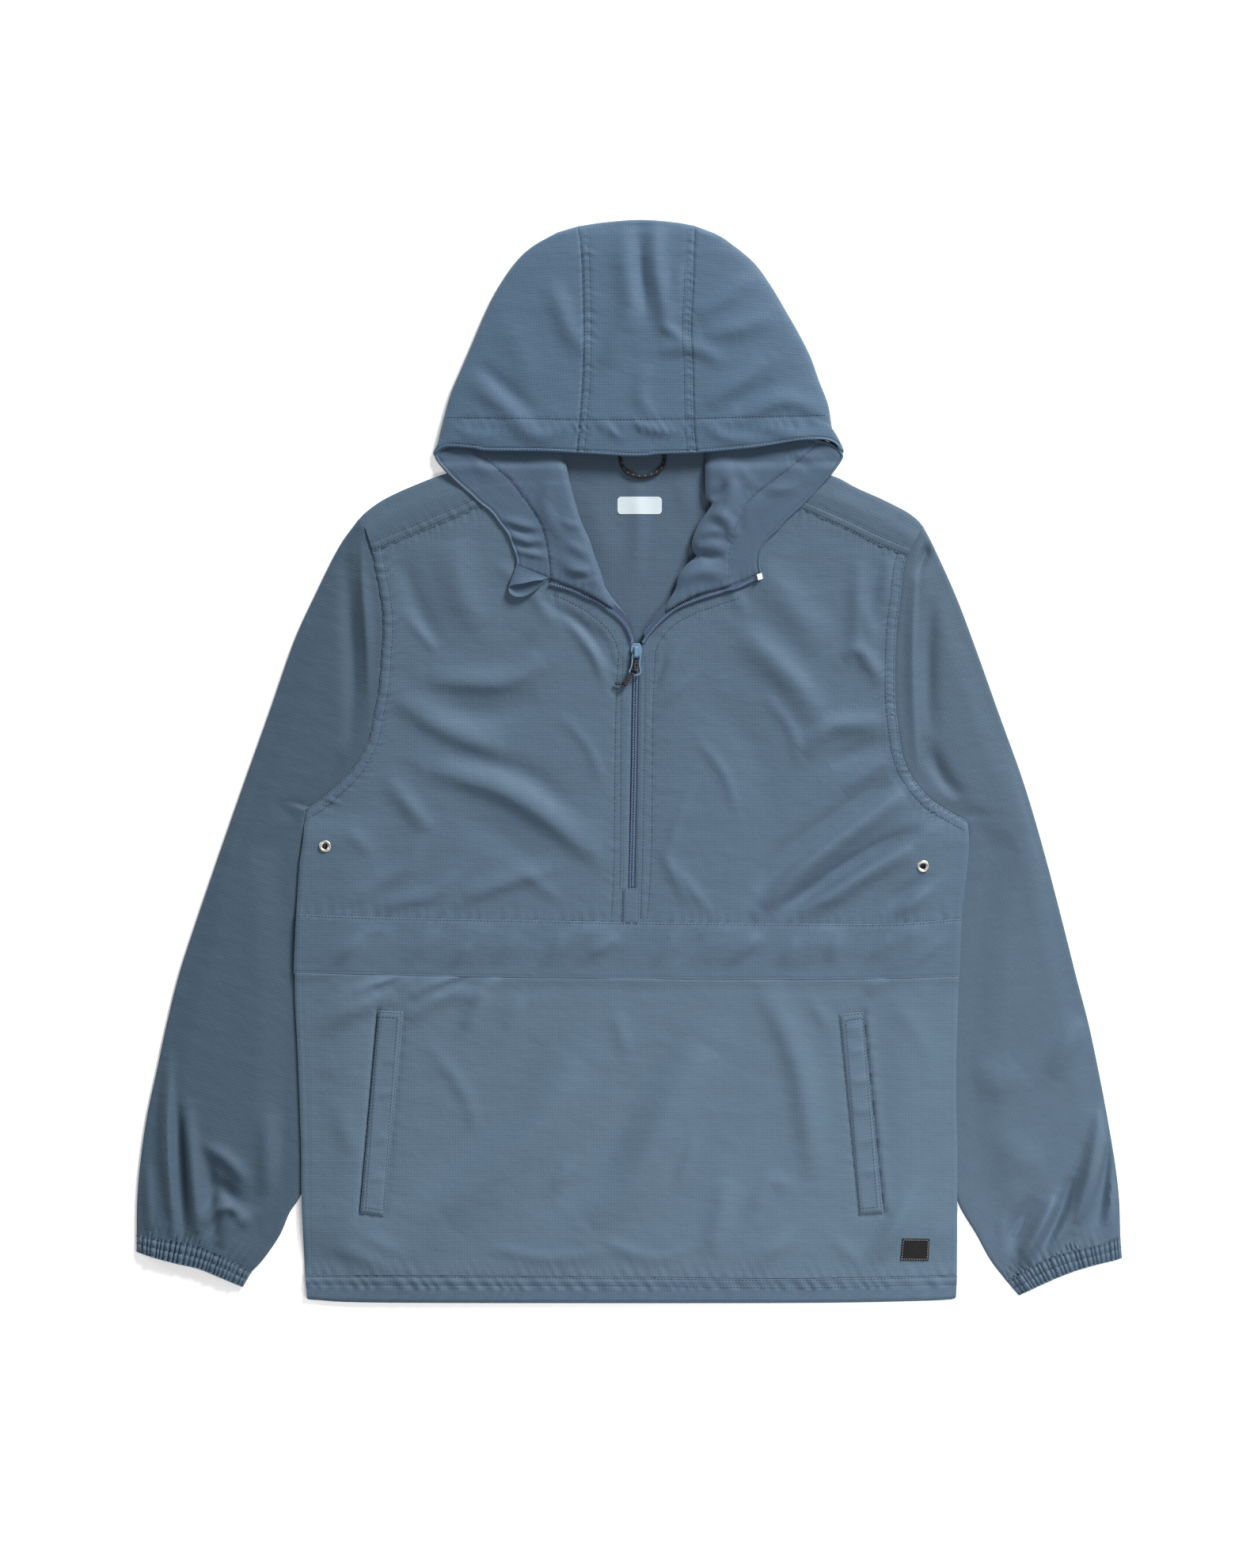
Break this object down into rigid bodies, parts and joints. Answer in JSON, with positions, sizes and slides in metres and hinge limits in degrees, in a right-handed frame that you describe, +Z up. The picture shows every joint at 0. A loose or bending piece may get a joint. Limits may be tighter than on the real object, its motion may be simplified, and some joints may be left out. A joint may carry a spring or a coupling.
{
  "type": "hooded half-zip windbreaker pullover",
  "caption": "Woven hooded pullover laid flat on its back: half zip opened to turned-out lapels, front pouch under a flap band, slanted welt pockets, gathered cuffs.",
  "frame": {"origin": "middle of the laid-out garment, on the surface that it lies on", "axes": "+X to the viewer's right, +Y towards the hood, +Z up out of the front of the garment"},
  "size_m": [0.8721, 0.9584, 0.0143],
  "materials": {
    "ripstop": "matt fine ripstop weave",
    "zip_tape_cloth": "woven tape",
    "zip_coil_plastic": "moulded coil",
    "slider_paint": "semi-gloss paint",
    "dark_cord": "braided, with pale flecks",
    "eyelet_nickel": "pale nickel",
    "end_stop_plastic": "moulded",
    "patch_cloth": "woven, matt"
  },
  "bodies": {
    "garment": {"back_panel": "ripstop", "casing_end": "ripstop", "cuff_left": "ripstop", "cuff_right": "ripstop", "eyelet_left": "eyelet_nickel", "eyelet_right": "eyelet_nickel", "front_left": "ripstop", "front_right": "ripstop", "hang_loop": "dark_cord", "hem_back": "ripstop", "hem_front": "ripstop", "hem_patch": "patch_cloth", "hood_centre": "ripstop", "hood_left": "ripstop", "hood_right": "ripstop", "lapel_left": "ripstop", "lapel_right": "ripstop", "pocket_flap": "ripstop", "pouch_panel": "ripstop", "sleeve_left": "ripstop", "sleeve_right": "ripstop", "welt_left": "ripstop", "welt_right": "ripstop", "yoke_left": "ripstop", "yoke_right": "ripstop", "zip_box": "ripstop", "zip_coil": "zip_coil_plastic", "zip_coil_left": "zip_coil_plastic", "zip_coil_right": "zip_coil_plastic", "zip_end_stop": "end_stop_plastic", "zip_slider": "slider_paint", "zip_tape": "zip_tape_cloth", "zip_tape_left": "zip_tape_cloth", "zip_tape_right": "zip_tape_cloth"},
    "pull_tab": {"zip_pull_tab": "slider_paint", "zip_pull_cord": "dark_cord", "zip_pull_knot": "dark_cord", "zip_pull_end_knot": "dark_cord"}
  },
  "joints": [
    {"name": "pull_tab_hinge", "type": "hinge", "parent": "garment", "child": "pull_tab", "pos_m": [0.0063, 0.0945, 0.0083], "axis": [-1, 0, 0], "range_deg": [0, 140]}
  ]
}
